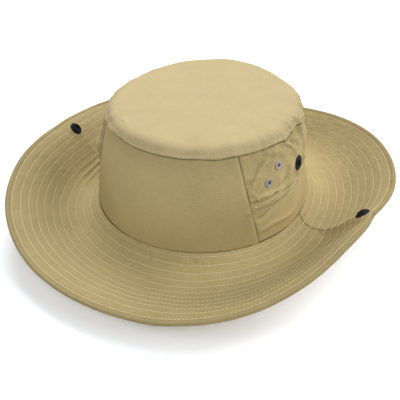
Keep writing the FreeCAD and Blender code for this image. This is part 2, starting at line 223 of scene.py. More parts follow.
def lumps(across, along, across_size, along_size, seed, columns=LUMP_COLUMNS):
    """Smooth random height between -1 and 1 whose lumps have the given sizes."""
    grid = np.random.default_rng(seed).uniform(-1.0, 1.0, (columns, LUMP_ROWS))
    column = across / across_size
    row = along / along_size
    column_cell = np.floor(column).astype(int)
    row_cell = np.floor(row).astype(int)
    column_share = smooth(0.0, 1.0, column - column_cell)
    row_share = smooth(0.0, 1.0, row - row_cell)

    def corner(column_step, row_step):
        return grid[(column_cell + column_step) % columns, (row_cell + row_step) % LUMP_ROWS]

    near = corner(0, 0) * (1.0 - column_share) + corner(1, 0) * column_share
    far = corner(0, 1) * (1.0 - column_share) + corner(1, 1) * column_share
    return near * (1.0 - row_share) + far * row_share


def ring_lumps(angle, along, count, along_size, seed):
    """The same, with count lumps once round the hat."""
    turn = (angle % math.tau) / math.tau
    return lumps(turn * count, along, 1.0, along_size, seed, count)


def unit(vectors):
    return vectors / np.maximum(np.linalg.norm(vectors, axis=-1, keepdims=True), 1e-12)


def grid_normals(points, round_trip=False):
    """Normal at each point of a grid, along first direction x second direction."""
    if round_trip:
        around = np.roll(points, -1, axis=0) - np.roll(points, 1, axis=0)
    else:
        around = np.gradient(points, axis=0)
    return unit(np.cross(around, np.gradient(points, axis=1)))


# --- the hat's surfaces ---
def seam_height(height, angle):
    return sum(wave * np.cos(count * angle) for count, wave in enumerate(height))


def oval(half_width, half_length, angle):
    return half_width * np.sin(angle), -half_length * np.cos(angle)


def wall_points(angle, climb, depth=0.0):
    """Points of the crown wall, climb 0 at the brim and 1 at the tip, depth inwards."""
    low_x, low_y = oval(CROWN_HALF_WIDTH - depth, CROWN_HALF_LENGTH - depth, angle)
    top_x, top_y = oval(TIP_HALF_WIDTH - depth, TIP_HALF_LENGTH - depth, angle)
    out_x, out_y = oval(WALL_BULGE, WALL_BULGE, angle)
    bulge = np.sin(math.pi * climb)
    low_z = seam_height(BRIM_SEAM_HEIGHT, angle)
    top_z = seam_height(TIP_SEAM_HEIGHT, angle)
    points = np.stack([
        low_x + (top_x - low_x) * climb + out_x * bulge,
        low_y + (top_y - low_y) * climb + out_y * bulge,
        low_z + (top_z - low_z) * climb,
    ], axis=-1)
    return points + np.array(HAT_CENTRE)


def slanting_angle(first, last, share, climb):
    """Angle part of the way between two slanting edges, given as low and top degrees."""
    low = first[0] + (last[0] - first[0]) * share
    top = first[1] + (last[1] - first[1]) * share
    return np.radians(low + (top - low) * climb)


def round_the_hat(stations, angle):
    """Smooth value through evenly spaced stations from the front to the back."""
    last = len(stations) - 1
    total = np.zeros_like(angle)
    for wave in range(last + 1):
        weight = 0.0
        for place, value in enumerate(stations):
            share = 0.5 if place in (0, last) else 1.0
            weight += share * value * math.cos(math.pi * wave * place / last)
        share = 0.5 if wave in (0, last) else 1.0
        total += share * weight * 2.0 / last * np.cos(wave * angle)
    return total


def brim_slope(angle, fraction):
    """Upward slope of the brim in degrees: a parabola through its three stations."""
    at_seam = round_the_hat(SEAM_SLOPES, angle)
    at_middle = round_the_hat(MIDDLE_SLOPES, angle)
    at_edge = round_the_hat(EDGE_SLOPES, angle)
    middle = SLOPE_MIDDLE_AT
    whole_rise = at_edge - at_seam
    bend = ((at_middle - at_seam) - whole_rise * middle) / (middle * (middle - 1.0))
    return at_seam + (whole_rise - bend) * fraction + bend * fraction * fraction


def brim_middle(angles, reaches):
    """Grid of points of the brim's middle surface, reach being the way along the cloth."""
    seam_x, seam_y = oval(CROWN_HALF_WIDTH, CROWN_HALF_LENGTH, angles)
    normal_x = seam_x / CROWN_HALF_WIDTH ** 2
    normal_y = seam_y / CROWN_HALF_LENGTH ** 2
    length = np.hypot(normal_x, normal_y)
    step = BRIM_WIDTH / BRIM_STEPS
    fractions = (np.arange(BRIM_STEPS) + 0.5) / BRIM_STEPS
    slopes = np.radians(brim_slope(angles[:, None], fractions[None, :]))
    start = np.zeros((len(angles), 1))
    outwards = np.hstack([start, np.cumsum(np.cos(slopes), axis=1) * step])
    upwards = np.hstack([start, np.cumsum(np.sin(slopes), axis=1) * step])
    cells = np.arange(BRIM_STEPS + 1) * step
    out = np.array([np.interp(reaches, cells, row) for row in outwards])
    rise = np.array([np.interp(reaches, cells, row) for row in upwards])
    points = np.stack([
        seam_x[:, None] + out * (normal_x / length)[:, None],
        seam_y[:, None] + out * (normal_y / length)[:, None],
        seam_height(BRIM_SEAM_HEIGHT, angles)[:, None] + rise,
    ], axis=-1)
    return points + np.array(HAT_CENTRE)


# --- meshes from grids ---
def grid_faces(rows, columns, round_trip=False):
    """Quads of a grid of points, as (rows, columns, 4) indices."""
    last = rows if round_trip else rows - 1
    row = np.arange(last)[:, None]
    column = np.arange(columns - 1)[None, :]
    near = row * columns + column
    far = (row + 1) % rows * columns + column
    return np.stack([near, far, far + 1, near + 1], axis=-1)


def grid_rim(rows, columns):
    """Indices once round the border of a grid, anticlockwise from outside."""
    bottom = np.arange(rows - 1) * columns
    right = (rows - 1) * columns + np.arange(columns - 1)
    top = np.arange(rows - 1, 0, -1) * columns + columns - 1
    left = np.arange(columns - 1, 0, -1)
    return np.concatenate([bottom, right, top, left])


def in_scene(name, data):
    """New object in the scene, with the given mesh, light or camera."""
    item = bpy.data.objects.new(name, data)
    bpy.context.scene.collection.objects.link(item)
    return item


def mesh_piece(name, points, faces, flat, material, shade=None, normals=None):
    """Object from points, quads and each point's place on the flat cloth."""
    mesh = bpy.data.meshes.new(name)
    mesh.from_pydata(points.tolist(), [], faces.tolist())
    corners = np.empty(len(mesh.loops), dtype=np.int32)
    mesh.loops.foreach_get("vertex_index", corners)
    layer = mesh.uv_layers.new(name="cloth")
    layer.data.foreach_set("uv", flat[corners].astype(np.float32).ravel())
    tone = mesh.attributes.new("shade", "FLOAT", "POINT")
    tone.data.foreach_set("value", np.ones(len(points)) if shade is None else shade)
    mesh.polygons.foreach_set("use_smooth", np.ones(len(mesh.polygons), dtype=bool))
    if normals is not None:
        mesh.normals_split_custom_set_from_vertices(normals.tolist())
    mesh.materials.append(material)
    return in_scene(name, mesh)


def shell_piece(name, outer, inner, flat, material, shade=None, kept=None, round_trip=False):
    """Closed cloth between an outer and an inner grid; kept says which quads stay."""
    rows, columns = outer.shape[:2]
    faces = grid_faces(rows, columns, round_trip)
    if kept is not None:
        faces = faces[kept]
    faces = faces.reshape(-1, 4)
    count = rows * columns
    if round_trip:
        rows_in_turn = np.arange(rows) * columns
        rims = [rows_in_turn, (rows_in_turn + columns - 1)[::-1]]
    else:
        rims = [grid_rim(rows, columns)]
    sides = []
    for rim in rims:
        following = np.roll(rim, -1)
        sides.append(np.stack([rim, rim + count, following + count, following], axis=-1))
    everything = np.concatenate([faces, faces[:, ::-1] + count] + sides)
    points = np.concatenate([outer.reshape(-1, 3), inner.reshape(-1, 3)])
    both = np.concatenate([flat.reshape(-1, 2)] * 2)
    tone = None if shade is None else np.concatenate([shade.ravel()] * 2)
    return mesh_piece(name, points, everything, both, material, tone)


def stitches(name, lines, material, width=THREAD_WIDTH):
    """Row of thread stitches along each line, given as (points, normals) on the cloth."""
    rings = np.array([0.0, 0.14, 0.5, 0.86, 1.0])
    ring_rise = np.array([-0.7, 0.15, 0.45, 0.15, -0.7]) * THREAD_HEIGHT
    ring_size = np.array([0.45, 0.95, 1.0, 0.95, 0.45])
    sides = even_turn(THREAD_SIDES)
    corners = len(rings) * THREAD_SIDES
    all_points = []
    for points, normals in lines:
        steps = np.linalg.norm(np.diff(points, axis=0), axis=1)
        travelled = np.concatenate([[0.0], np.cumsum(steps)])
        count = int(travelled[-1] / (STITCH_LENGTH + STITCH_GAP))
        pitch = travelled[-1] / count
        starts = (np.arange(count) + 0.5 * STITCH_GAP / pitch) * pitch
        places = starts[:, None] + rings[None, :] * (pitch - STITCH_GAP)
        centre = np.stack([np.interp(places, travelled, points[:, k]) for k in range(3)], -1)
        normal = unit(np.stack(
            [np.interp(places, travelled, normals[:, k]) for k in range(3)], -1))
        along = unit(centre[:, -1:] - centre[:, :1])
        sideways = unit(np.cross(normal, np.broadcast_to(along, normal.shape)))
        centre = centre + normal * ring_rise[None, :, None]
        across = sideways[:, :, None, :] * (np.cos(sides) * width / 2)[None, None, :, None]
        upward = normal[:, :, None, :] * (np.sin(sides) * THREAD_HEIGHT / 2)[None, None, :, None]
        size = ring_size[None, :, None, None]
        around = centre[:, :, None, :] + (across + upward) * size
        all_points.append(around.reshape(-1, corners, 3))
    stitch_points = np.concatenate(all_points)
    near = np.arange(len(rings) - 1)[:, None] * THREAD_SIDES
    far = near + THREAD_SIDES
    side = np.arange(THREAD_SIDES)[None, :]
    following = (side + 1) % THREAD_SIDES
    quads = np.stack([near + side, near + following, far + following, far + side], -1)
    quads = quads.reshape(1, -1, 4) + (np.arange(len(stitch_points)) * corners)[:, None, None]
    along_thread = np.repeat(rings * STITCH_LENGTH, THREAD_SIDES)
    round_thread = np.tile(sides, len(rings)) * width
    flat = np.tile(np.stack([along_thread, round_thread], -1), (len(stitch_points), 1))
    return mesh_piece(name, stitch_points.reshape(-1, 3), quads.reshape(-1, 4), flat, material)


def on_root(piece, slot, *nodes):
    """Fixes a piece to the crown and hides the solids it stands for; the slot is not used."""
    if nodes:
        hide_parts(*nodes)
    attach(piece, "root")


# --- materials ---
class Paint:
    """A material under construction: adds nodes and links them in short calls."""

    def __init__(self, name, colour, roughness, metallic=0.0, specular=0.3):
        self.material = bpy.data.materials.new(name)
        self.material.use_nodes = True
        self.tree = self.material.node_tree
        self.shader = self.tree.nodes["Principled BSDF"]
        self.set({"Base Color": (*colour, 1.0), "Roughness": roughness,
                  "Metallic": metallic, "Specular IOR Level": specular})

    def set(self, values):
        for key, value in values.items():
            self.shader.inputs[key].default_value = value

    def add(self, kind, links=None, values=None, **settings):
        node = self.tree.nodes.new(kind)
        for key, value in settings.items():
            setattr(node, key, value)
        for key, value in (values or {}).items():
            node.inputs[key].default_value = value
        for key, source in (links or {}).items():
            self.tree.links.new(source, node.inputs[key])
        return node

    def cloth_place(self):
        return self.add("ShaderNodeUVMap", uv_map="cloth").outputs["UV"]

    def cloth_tone(self):
        return self.add("ShaderNodeAttribute", attribute_name="shade").outputs["Fac"]

    def stretched(self, source, scale):
        mapping = self.add("ShaderNodeMapping", {"Vector": source})
        mapping.inputs["Scale"].default_value = scale
        return mapping.outputs["Vector"]

    def noise(self, source, scale, detail=2.0):
        node = self.add("ShaderNodeTexNoise", {"Vector": source},
                        {"Scale": scale, "Detail": detail, "Roughness": 0.6})
        return node.outputs["Fac"]

    def bands(self, source, direction, period):
        node = self.add("ShaderNodeTexWave", {"Vector": source},
                        {"Scale": math.pi / 10.0 / period, "Distortion": 0.0},
                        bands_direction=direction)
        return node.outputs["Fac"]

    def maths(self, operation, first, second):
        node = self.add("ShaderNodeMath", operation=operation)
        for socket, value in zip(node.inputs, (first, second)):
            if isinstance(value, (int, float)):
                socket.default_value = value
            else:
                self.tree.links.new(value, socket)
        return node.outputs["Value"]

    def between(self, source, low, high):
        node = self.add("ShaderNodeMapRange", {"Value": source},
                        {"To Min": low, "To Max": high})
        return node.outputs["Result"]

    def tinted(self, colour, *strengths):
        """Base colour times each of several strengths."""
        total = strengths[0]
        for strength in strengths[1:]:
            total = self.maths("MULTIPLY", total, strength)
        scale = self.add("ShaderNodeVectorMath", {"Scale": total}, operation="SCALE")
        scale.inputs[0].default_value = colour
        self.tree.links.new(scale.outputs["Vector"], self.shader.inputs["Base Color"])

    def bump(self, height, strength, distance):
        node = self.add("ShaderNodeBump", {"Height": height},
                        {"Strength": strength, "Distance": distance})
        self.tree.links.new(node.outputs["Normal"], self.shader.inputs["Normal"])


def cloth_paint(name, colour, thread=0.0013, patchiness=0.03):
    """Matt cotton: fine plain weave with uneven yarns and dye."""
    paint = Paint(name, colour, 0.92, specular=0.2)
    flat = paint.cloth_place()
    warp = paint.bands(flat, "X", thread)
    weft = paint.bands(flat, "Y", thread)
    weave = paint.maths("MULTIPLY", warp, weft)
    patches = paint.between(paint.noise(flat, 30.0, 4.0), 1.0 - 3.0 * patchiness,
                            1.0 + 3.0 * patchiness)
    warp_yarn = paint.noise(paint.stretched(flat, (1600.0, 130.0, 1.0)), 1.0)
    weft_yarn = paint.noise(paint.stretched(flat, (130.0, 1600.0, 1.0)), 1.0)
    yarns = paint.between(paint.maths("ADD", warp_yarn, weft_yarn), 0.70, 1.0)
    # the points' tone: painted light and shade, dark seams and random unevenness
    shade = paint.cloth_tone()
    lit_weave = paint.between(weave, 0.95, 1.12)
    paint.tinted(colour, patches, yarns, lit_weave, shade)
    height = paint.maths("ADD", weave, yarns)
    paint.bump(height, 0.6, 0.00022)
    paint.set({"Sheen Weight": 0.18, "Sheen Roughness": 0.5, "Sheen Tint": (*colour, 1.0)})
    return paint.material


def thread_paint(name, colour):
    """Twisted sewing thread."""
    paint = Paint(name, colour, 0.7, specular=0.3)
    flat = paint.cloth_place()
    twist = paint.bands(flat, "DIAGONAL", 0.0005)
    uneven = paint.noise(flat, 260.0)
    paint.tinted(colour, paint.between(twist, 0.85, 1.1), paint.between(uneven, 0.85, 1.15))
    paint.bump(twist, 0.5, 0.0001)
    return paint.material


def ribbed_paint(name, colour, rib):
    """Woven tape or elastic with ribs across its width."""
    paint = Paint(name, colour, 0.85, specular=0.25)
    flat = paint.cloth_place()
    ribs = paint.bands(flat, "X", rib)
    fleck = paint.noise(flat, 700.0)
    patches = paint.noise(flat, 40.0, 3.0)
    shade = paint.cloth_tone()
    paint.tinted(colour, paint.between(ribs, 0.85, 1.1), paint.between(fleck, 0.85, 1.15),
                 paint.between(patches, 0.9, 1.1), shade)
    paint.bump(ribs, 0.6, 0.0002)
    return paint.material


def enamel_paint(name, colour, roughness, metallic, wear_colour):
    """Hard painted or plated metal, a little worn and scuffed."""
    paint = Paint(name, colour, roughness, metallic=metallic, specular=0.15)
    place = paint.add("ShaderNodeTexCoord").outputs["Object"]
    scuffs = paint.noise(paint.stretched(place, (900.0, 900.0, 2600.0)), 1.0, 4.0)
    worn = paint.between(paint.maths("POWER", scuffs, 5.0), 0.0, 1.0)
    mix = paint.add("ShaderNodeMix", {"Factor": worn}, data_type="RGBA")
    mix.inputs[6].default_value = (*colour, 1.0)
    mix.inputs[7].default_value = (*wear_colour, 1.0)
    paint.tree.links.new(mix.outputs[2], paint.shader.inputs["Base Color"])
    rough = paint.between(scuffs, roughness * 0.7, roughness * 1.5)
    paint.tree.links.new(rough, paint.shader.inputs["Roughness"])
    paint.bump(paint.noise(place, 1500.0, 3.0), 0.15, 0.0001)
    return paint.material


# --- brim ---
def brim_angles():
    """Even angles round the hat, closer together at the two side seams."""
    even = even_turn(BRIM_COLUMNS)
    beside = np.radians(SEAM_COLUMN_TURN * np.array([-4, -3, -2, -1, 1, 2, 3, 4]))
    return np.sort(np.concatenate([even, math.pi / 2.0 + beside, math.pi * 1.5 + beside]))


def brim_rows():
    return FIRST_ROW + ROW_PITCH * np.arange(ROW_COUNT)


def brim_reaches():
    """Places along the brim: close together at each row of stitching and at the hem."""
    steps = np.array([-0.0024, -0.0014, -0.0006, 0.0, 0.0006, 0.0014, 0.0024, 0.0035])
    places = (brim_rows()[:, None] + steps[None, :]).ravel()
    hem = BRIM_WIDTH - BRIM_HALF * np.array([0.9, 0.45, 0.2, 0.07, 0.0])
    fold = HEM_LINE + np.array([-0.0006, 0.0, 0.0006, 0.0012])
    places = np.unique(np.concatenate([[0.0, 0.0010, 0.0020], places, fold]))
    return np.concatenate([places[places < hem[0] - 0.0003], hem])


def quilt_height(reach):
    """Height of the cloth between its rows of stitching."""
    row = np.clip(np.round((reach - FIRST_ROW) / ROW_PITCH), 0, ROW_COUNT - 1)
    apart = np.abs(reach - FIRST_ROW - row * ROW_PITCH) / (ROW_PITCH / 2.0)
    return 1.0 - (1.0 - np.clip(apart, 0.0, 1.0)) ** 2.6


def brim_sag(angle, reach):
    """How far the whole brim stands off its even curve, along its normal."""
    share = reach / BRIM_WIDTH
    wave = ring_lumps(angle, reach, 21, 0.05, 3) * 0.0010 * share
    wave += ring_lumps(angle, reach, 43, 0.03, 4) * 0.0004 * (0.3 + share)
    wave += LEFT_REAR_LIFT * facing(angle, 2.35, 0.55) * share ** 2
    wave += BACK_LIFT * facing(angle, 2.8, 0.35) * share ** 2
    wave -= RIGHT_REAR_DROP * facing(angle, -2.1, 0.5) * share ** 2
    rippled = facing(angle, -1.48, 0.22) * hump(0.022, 0.014, reach)
    rippled = 2.4 * rippled + 0.6 * facing(angle, 1.36, 0.20) * hump(0.012, 0.009, reach)
    wave += 0.0007 * rippled * np.cos((reach - FIRST_ROW) / ROW_PITCH * math.tau)
    for side in (-1.0, 1.0):
        away = from_side_seam(angle, reach, side)
        front = turn_apart(angle, 0.0) < math.pi / 2.0
        deepest = np.where(front, SEAM_DIP_FRONT, SEAM_DIP_REAR) * (1.0 if side > 0 else 0.35)
        run = away / SEAM_DIP_RUN
        along = smooth(0.1, 0.45, share) * smooth(1.08, 0.72, share)
        wave -= deepest * run * np.exp(1.0 - run) * along
    return wave * away_from_socket(angle, reach)


def away_from_socket(angle, reach):
    """0 under a brim snap, 1 well clear of it."""
    clear = 1.0
    for side in (-1.0, 1.0):
        across = from_side_seam(angle, reach, side)
        clear *= smooth(0.006, 0.013, np.hypot(across, reach - SNAP_REACH))
    return clear


def side_seam_depth(angle, reach):
    groove = 0.0
    for side in (-1.0, 1.0):
        away = from_side_seam(angle, reach, side)
        clear = 1.0 if side > 0.0 else 0.4
        groove += clear * (hump(0.0, 0.0007, away) - 0.35 * hump(0.0026, 0.0020, away))
    return groove * SIDE_SEAM_DEPTH


def brim_relief(angle, reach, seed):
    """Height of one face of the brim over its plain surface."""
    puff = QUILT_PUFF * (1.0 + 0.5 * ring_lumps(angle, reach, 88, 0.007, seed))
    loose = facing(angle, 1.2, 0.6) * smooth(0.022, 0.010, reach)
    puff *= 1.0 + 1.3 * loose - 0.5 * facing(angle, 2.4, 0.6)
    fine = ring_lumps(angle, reach, 209, 0.0035, seed + 1) * 0.00018
    finer = ring_lumps(angle, reach, 431, 0.0035, seed + 2) * 0.00014
    relief = puff * quilt_height(reach) - QUILT_PUFF * 0.5 + fine + finer
    hem_step = 0.00022 * smooth(HEM_LINE - 0.0006, HEM_LINE + 0.0006, reach)
    relief = relief + hem_step - side_seam_depth(angle, reach)
    return relief * away_from_socket(angle, reach)


def brim_shade(angle, reach):
    """Tone of the brim: broad painted light and shade, puff tops painted pale and rows dark, dark
    seams, a dark hem line, painted shade on the hem band and its edge.
    """
    # puff tops painted paler and the rows of stitching darker: painted light and shade; random
    # unevenness
    shade = 0.97 + 0.05 * quilt_height(reach) + 0.03 * ring_lumps(angle, reach, 44, 0.02, 31)
    shade += 0.04 * ring_lumps(angle, reach, 351, 0.0035, 32)
    # painted light and shade on broad areas
    for paler, place, width, none_at, full_at in BRIM_PAINTED_LIGHT:
        shade += paler * facing(angle, place, width) * smooth(none_at, full_at, reach)
    # painted shade on the outer brim towards the front, painted light at the back on the left, and
    # painted light near the crown turning to painted shade towards the edge
    shade -= 0.04 * smooth(1.3, 0.6, turn_apart(angle, -0.3)) * smooth(0.05, 0.08, reach)
    shade += 0.04 * smooth(1.0, 0.2, turn_apart(angle, 2.5))
    shade += 0.05 - 0.13 * reach / BRIM_WIDTH
    # painted shade on the brim in front of its left side seam
    painted_shade_before_left_seam = smooth(0.9, 1.3, angle) * smooth(1.575, 1.555, angle) * smooth(0.015, 0.03, reach)
    shade -= 0.07 * painted_shade_before_left_seam
    # painted shade over the hem band, a dark line at the hem's inner edge, and a painted shadow along
    # the rolled edge
    shade -= 0.09 * smooth(HEM_LINE - 0.004, HEM_LINE + 0.001, reach)
    shade -= 0.12 * hump(HEM_LINE, 0.0005, reach)
    shade -= 0.14 * hump(BRIM_WIDTH, 0.0007, reach)
    return shade * (1.0 - 0.6 * np.clip(side_seam_depth(angle, reach) / SIDE_SEAM_DEPTH, 0.0, 1.0))


def brim_face(side):
    """Grid of one face of the whole brim, its normals, flat places and shade."""
    angles = brim_angles()
    reaches = brim_reaches()
    middle = brim_middle(angles, reaches)
    normal = -grid_normals(middle, round_trip=True)
    angle = angles[:, None]
    reach = reaches[None, :]
    past_hem = np.clip((reach - BRIM_WIDTH + BRIM_HALF) / BRIM_HALF, 0.0, 1.0)
    half = BRIM_HALF * np.sqrt(np.maximum(1.0 - past_hem ** 2, 0.0))
    relief = brim_relief(angle, reach, 11 if side > 0 else 23) * (1.0 - past_hem)
    if side > 0:
        half = half * (1.0 - 0.95 * np.exp(-(reach / 0.0012) ** 2))
    offset = brim_sag(angle, reach) + side * (half + relief)
    points = middle + normal * offset[:, :, None]
    away = from_side_seam(angle, reach, 1.0)
    droop = RIM_DROOP * hump(0.0, 0.020, away) * smooth(SNAP_REACH + 0.006, BRIM_WIDTH, reach)
    points[:, :, 0] -= droop
    points[:, :, 2] -= droop
    lowest = RESTING_HEIGHT + (1 + side) * half
    points[:, :, 2] = np.maximum(points[:, :, 2], lowest)
    normals = -grid_normals(points, round_trip=True) * side
    radius = BRIM_RADIUS + reach
    flat = np.stack([radius * np.sin(angle), radius * np.cos(angle)], axis=-1)
    shade = brim_shade(angle, reach)
    return points, normals, flat, shade


def half_brim(side_name, side, face_name, face, paint):
    """One face of the brim on one side of the hat, from the front to the back."""
    points, normals, flat, shade = face
    count = len(points)
    quarter = np.arange(count // 2 + 1)
    rows = quarter if side > 0 else (quarter + count // 2) % count
    columns = points.shape[1]
    faces = grid_faces(len(rows), columns).reshape(-1, 4)
    if face_name == "upper":
        faces = faces[:, ::-1]
    piece = mesh_piece(
        f"brim_{face_name}_cloth_{side_name}", points[rows].reshape(-1, 3), faces,
        flat[rows].reshape(-1, 2), paint, shade[rows].ravel(), normals[rows].reshape(-1, 3),
    )
    row_columns = [int(np.argmin(np.abs(brim_reaches() - row))) for row in brim_rows()]
    lines = [(points[rows, column], normals[rows, column]) for column in row_columns]
    return piece, lines


def fold_with_flap(piece):
    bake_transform(piece)


def build_brim(cloth, thread):
    for face_name, sign in (("upper", 1), ("lower", -1)):
        face = brim_face(sign)
        for side_name, side in (("left", 1), ("right", -1)):
            piece, lines = half_brim(side_name, side, face_name, face, cloth)
            layers = ["upper", "core"] if face_name == "upper" else ["lower"]
            for layer in layers:
                nodes = [f"brim_{layer}_{half}_{side_name}_flap" for half in ("front", "rear")]
                if side_name == "left":
                    nodes += [f"brim_{layer}_{half}" for half in ("front", "rear")]
                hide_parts(*nodes)
            fold_with_flap(piece)
            sewing = stitches(f"brim_{face_name}_stitching_{side_name}", lines, thread)
            fold_with_flap(sewing)


# --- crown ---
def from_place(angle, climb, place, side, radius):
    """Length over the wall from a place given in degrees and climb, left or right."""
    degrees, place_climb = place
    across = turn_apart(angle, side * math.radians(degrees)) * radius
    return np.hypot(across, (climb - place_climb) * WALL_HEIGHT)


def away_from_hardware(angle, climb):
    """0 under a stud or an eyelet, 1 well clear of it."""
    clear = 1.0
    for side in (-1.0, 1.0):
        for place in (STUD_PLACE, *EYELET_PLACES):
            clear *= smooth(0.0045, 0.011, from_place(angle, climb, place, side, WALL_RADIUS))
    return clear


def hole_faces(angle, climb):
    """Which quads of a wall grid lie over no eyelet's bore."""
    middle_angle = (angle[1:, 1:] + angle[:-1, :-1]) / 2.0
    middle_climb = (climb[1:, 1:] + climb[:-1, :-1]) / 2.0
    kept = np.ones(middle_angle.shape, dtype=bool)
    for side in (-1.0, 1.0):
        for place in EYELET_PLACES:
            away = from_place(middle_angle, middle_climb, place, side, EYELET_WALL_RADIUS)
            kept &= away > EYELET_BORE
    return kept


def slump(angle, climb):
    """How every layer of the soft wall stands off its even shape."""
    leaning = -0.003 * facing(angle, -1.75, 0.9) * smooth(0.55, 1.0, climb)
    rear = smooth(1.1, 1.7, turn_apart(angle, 0.0))
    pinched = -ELASTIC_PINCH * hump(0.41, 0.16, climb) * rear
    return (leaning + pinched) * away_from_hardware(angle, climb)


def seam_tuck(edge_distance, depth=0.0003, width=0.0006):
    return -depth * np.exp(-(edge_distance / width) ** 2)


def front_relief(angle, climb, edge):
    arc, height = wall_place(angle, climb)
    relief = 0.0005 * lumps(arc + 0.4 * height, height, 0.047, 0.040, 41)
    fold = hump(0.0, 0.045, angle - 0.93) * hump(0.40, 0.03, climb)
    relief = relief + 0.0008 * fold + 0.0004 * hump(0.004, 0.003, edge)
    return relief + tip_pucker(angle) * np.exp(-(1.0 - climb) * WALL_HEIGHT / 0.006)


def tip_pucker(angle):
    """Small upright folds that the tip's seam makes, the same above and below it."""
    strength = 0.5 + 1.7 * facing(angle, 1.45, 0.55)
    strength += 0.7 * facing(angle, -0.75, 0.45)
    folds = 0.6 * ring_lumps(angle, 0.0, 83, 1.0, 73) + 0.5 * ring_lumps(angle, 0.0, 167, 1.0, 75)
    return 0.0009 * strength * folds + 0.0022 * facing(angle, 1.83, 0.05)


def seam_wave(angle):
    """Rise and fall of the tip's seam, which the soft cloth can't hold level."""
    uneven = 0.35 + 0.9 * facing(angle, 1.6, 0.6)
    return 0.0012 * uneven * ring_lumps(angle, 0.0, 41, 1.0, 77)


def gathers(arc, seed):
    """Uneven upright folds, as cloth makes over stretched elastic."""
    wide = lumps(arc, 0.0, 0.0105, 1.0, seed)
    return wide + 0.7 * lumps(arc, 0.0, 0.0048, 1.0, seed + 1)


def crease(across, along, across_size, along_size, seed):
    """Sharp-topped folds, up to 1 high, that run with the second direction."""
    fold = 1.0 - np.abs(lumps(across, along, across_size, along_size, seed))
    return fold ** 3


def along_fold(angle, climb, fold):
    """Height of one straight fold, whose ends fade out."""
    first_angle, first_climb, last_angle, last_climb, width, height = fold
    start = np.array((math.radians(first_angle) * WALL_RADIUS, first_climb * WALL_HEIGHT))
    run = np.array((math.radians(last_angle) * WALL_RADIUS, last_climb * WALL_HEIGHT)) - start
    across = angle * WALL_RADIUS - start[0]
    up = climb * WALL_HEIGHT - start[1]
    length = math.hypot(*run)
    share = (across * run[0] + up * run[1]) / length ** 2
    away = (across * run[1] - up * run[0]) / length
    ends = smooth(-0.25, 0.2, share) * smooth(1.25, 0.8, share)
    bend = 0.0016 * np.sin(share * 5.0 + first_angle)
    return height * ends * hump(bend, width, away)


def away_from_panel_seams(angle):
    """1 where the rear panel meets the top, 0 over the front panel."""
    seam = math.radians(PANEL_SEAM_ANGLE[1])
    return smooth(seam, seam + 0.05, turn_apart(angle, 0.0))


def fold_height(angle, climb):
    """Height of all the folds of the rear panel: named ones at its sides, even ones behind."""
    arc, height = wall_place(angle, climb)
    above_elastic = smooth(0.44, 0.54, climb) * smooth(1.03, 0.85, climb)
    behind = smooth(1.7, 2.2, turn_apart(angle, 0.0))
    rising = crease(arc - 1.1 * height, height + arc, 0.015, 0.060, 52)
    total = 0.0018 * (rising - 0.3) * above_elastic * (1.0 - behind)
    steep = crease(arc - 0.3 * height, height, 0.009, 0.050, 54)
    total += (0.0006 + 0.0010 * behind) * (steep - 0.3) * above_elastic
    crumpled = crease(arc + 0.5 * height, height - 0.4 * arc + 1.0, 0.0085, 0.012, 57)
    total += 0.0008 * (crumpled - 0.3) * smooth(0.36, 0.44, climb) * (1.0 - behind)
    for fold in FOLDS:
        total += along_fold(angle, climb, fold)
        mirrored = along_fold(math.tau - angle, climb, fold)
        total += 0.8 * mirrored * smooth(0.99, 0.90, climb)
    return total


def rear_relief(angle, climb, edge):
    arc, height = wall_place(angle, climb)
    low, high = ELASTIC_SPAN
    relief = 0.0012 * lumps(arc, height, 0.040, 0.034, 51) + fold_height(angle, climb)
    pull = gathers(arc, 55)
    above = smooth(high - 0.005, high + 0.02, climb) * np.exp(-(climb - high) * WALL_HEIGHT / 0.010)
    below = smooth(low + 0.005, low - 0.02, climb) * np.exp((climb - low) * WALL_HEIGHT / 0.006)
    relief += 0.0012 * pull * np.clip(above, 0.0, 1.0)
    relief += 0.0009 * pull * np.clip(below, 0.0, 1.0)
    for line in ELASTIC_SPAN:
        relief -= 0.0004 * hump(line, 0.014, climb)
    relief = relief + 0.0007 * hump(0.20, 0.13, climb) + 0.0010 * hump(0.60, 0.12, climb)
    on_right = smooth(4.6, 4.9, angle)
    ridge = hump(0.0055, 0.0045, edge) * (0.7 + 0.8 * lumps(height, 0.0, 0.009, 1.0, 58))
    relief += (0.0004 + 0.0024 * on_right) * ridge * smooth(0.44, 0.54, climb)
    return relief + tip_pucker(angle) * np.exp(-(1.0 - climb) * WALL_HEIGHT / 0.007)


def wall_shell(name, first, last, span, depth, thickness, size, relief, material, edges=None,
               holes=False, shade=None):
    """Closed cloth on the crown wall, and its grid of outer points and normals."""
    share = np.linspace(0.0, 1.0, size[0])[:, None]
    if edges is None:
        climb = np.linspace(span[0], span[1], size[1])[None, :]
    else:
        climb = edges[None, :]
    share, climb = np.broadcast_arrays(share, climb)
    angle = slanting_angle(first, last, share, climb)
    outer = wall_points(angle, climb, depth)
    inner = wall_points(angle, climb, depth + thickness)
    normal = grid_normals(outer)
    edge = np.minimum(share, 1.0 - share) * np.radians(last[0] - first[0]) * WALL_RADIUS
    rise = (relief(angle, climb, edge) + slump(angle, climb))[:, :, None]
    outer = outer + normal * rise
    inner = inner + normal * rise
    lift = seam_wave(angle) * smooth(0.80, 1.0, climb)
    outer[:, :, 2] += lift
    inner[:, :, 2] += lift
    flat = np.stack([angle * FLAT_RADIUS, climb * WALL_HEIGHT], axis=-1)
    kept = hole_faces(angle, climb) if holes else None
    tone = None if shade is None else shade(angle, climb, edge)
    piece = shell_piece(name, outer, inner, flat, material, tone, kept)
    return piece, outer, grid_normals(outer)


